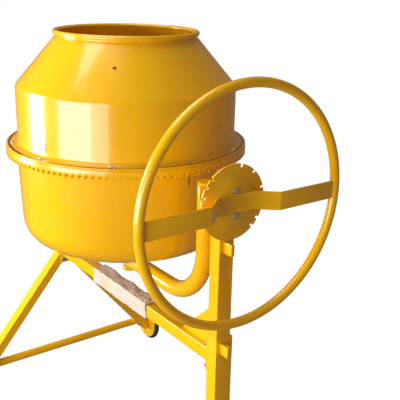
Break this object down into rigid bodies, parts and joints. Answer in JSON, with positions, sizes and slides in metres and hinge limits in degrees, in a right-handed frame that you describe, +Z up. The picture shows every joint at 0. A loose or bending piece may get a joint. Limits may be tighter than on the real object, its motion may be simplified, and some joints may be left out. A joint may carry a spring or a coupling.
{
  "type": "concrete mixer",
  "caption": "Tilting-drum concrete mixer on a wheeled frame; a handwheel tips the geared drum, which turns in a bent-pipe yoke.",
  "frame": {"origin": "on the floor, under the middle of the machine's bounding box", "axes": "+X towards the handwheel, -X towards the motor; -Y the front; +Z up"},
  "size_m": [1.237, 0.788, 1.3135],
  "materials": {
    "yellow_paint": "glossy powder coat",
    "zinc": "zinc plated",
    "machined_steel": "machined",
    "cast_grey": "as cast",
    "motor_casing": "cast",
    "blade_steel": "mill finish",
    "black_plastic": "moulded",
    "belt_rubber": "matt",
    "tyre_rubber": "matt",
    "wrap_film": "thin wrapped film",
    "start_green": "moulded",
    "stop_red": "moulded"
  },
  "bodies": {
    "stand": {"cross_beam": "yellow_paint", "beam_flanges": "yellow_paint", "beam_bolts": "zinc", "near_gusset": "yellow_paint", "near_leg": "yellow_paint", "near_post": "yellow_paint", "near_foot": "yellow_paint", "foot_pads": "black_plastic", "guide_loops": "yellow_paint", "bearing_plates": "yellow_paint", "trunnion_bushes": "black_plastic", "far_post": "yellow_paint", "front_leg": "yellow_paint", "rear_leg": "yellow_paint", "tie_bar": "yellow_paint", "wheel_axle": "machined_steel", "wheel_washers": "zinc", "split_pins": "zinc", "film_wrap": "wrap_film"},
    "yoke": {"yoke_pipe": "yellow_paint", "near_trunnion": "machined_steel", "far_trunnion": "machined_steel", "lock_disc": "yellow_paint", "wheel_rim": "yellow_paint", "wheel_spoke": "yellow_paint", "spoke_bolts": "zinc", "drum_axle": "machined_steel", "axle_nuts": "yellow_paint", "motor_plate": "yellow_paint", "motor_bracket": "zinc", "motor_cover": "yellow_paint", "cover_screws": "zinc", "motor_body": "motor_casing", "drive_belt": "belt_rubber", "pinion_bearings": "machined_steel", "switch_bezel": "black_plastic", "power_inlet": "black_plastic"},
    "drum": {"lower_bowl": "yellow_paint", "upper_drum": "yellow_paint", "gear_ring": "yellow_paint", "flange_screws": "zinc", "drum_hub": "yellow_paint", "hub_bearings": "machined_steel", "hub_cap": "yellow_paint", "drum_bolts": "zinc", "front_blade": "blade_steel", "rear_blade": "blade_steel"},
    "pinion": {"pinion_gear": "cast_grey", "pinion_shaft": "machined_steel", "large_pulley": "cast_grey"},
    "rotor": {"motor_shaft": "machined_steel", "small_pulley": "cast_grey", "motor_fan": "black_plastic"},
    "front_road_wheel": {"front_tyre": "tyre_rubber", "front_wheel": "yellow_paint"},
    "rear_road_wheel": {"rear_tyre": "tyre_rubber", "rear_wheel": "yellow_paint"},
    "start": {"start_button": "start_green"},
    "stop": {"stop_button": "stop_red"}
  },
  "joints": [
    {"name": "tilt", "type": "hinge", "parent": "stand", "child": "yoke", "pos_m": [0.05, 0, 0.937], "axis": [1, 0, 0], "range_deg": [-130, 130]},
    {"name": "drum_spin", "type": "hinge", "parent": "yoke", "child": "drum", "pos_m": [0.05, 0, 0.995], "axis": [0, 0, 1], "continuous": true},
    {"name": "pinion_spin", "type": "hinge", "parent": "yoke", "child": "pinion", "pos_m": [-0.288, 0, 0.937], "axis": [1, 0, 0], "continuous": true},
    {"name": "rotor_spin", "type": "hinge", "parent": "yoke", "child": "rotor", "pos_m": [-0.475, 0.11, 0.827], "axis": [1, 0, 0], "continuous": true},
    {"name": "front_wheel_spin", "type": "hinge", "parent": "stand", "child": "front_road_wheel", "pos_m": [-0.417, -0.368, 0.075], "axis": [0, 1, 0], "continuous": true},
    {"name": "rear_wheel_spin", "type": "hinge", "parent": "stand", "child": "rear_road_wheel", "pos_m": [-0.417, 0.368, 0.075], "axis": [0, 1, 0], "continuous": true},
    {"name": "start_press", "type": "slide", "parent": "yoke", "child": "start", "axis": [1, 0, 0], "range_m": [0, 0.0025], "stiffness_N_per_m": 800},
    {"name": "stop_press", "type": "slide", "parent": "yoke", "child": "stop", "axis": [1, 0, 0], "range_m": [0, 0.0025], "stiffness_N_per_m": 800}
  ],
  "couplings": [
    {"joint": "pinion_spin", "follows": "drum_spin", "ratio": 10},
    {"joint": "rotor_spin", "follows": "drum_spin", "ratio": 50}
  ]
}
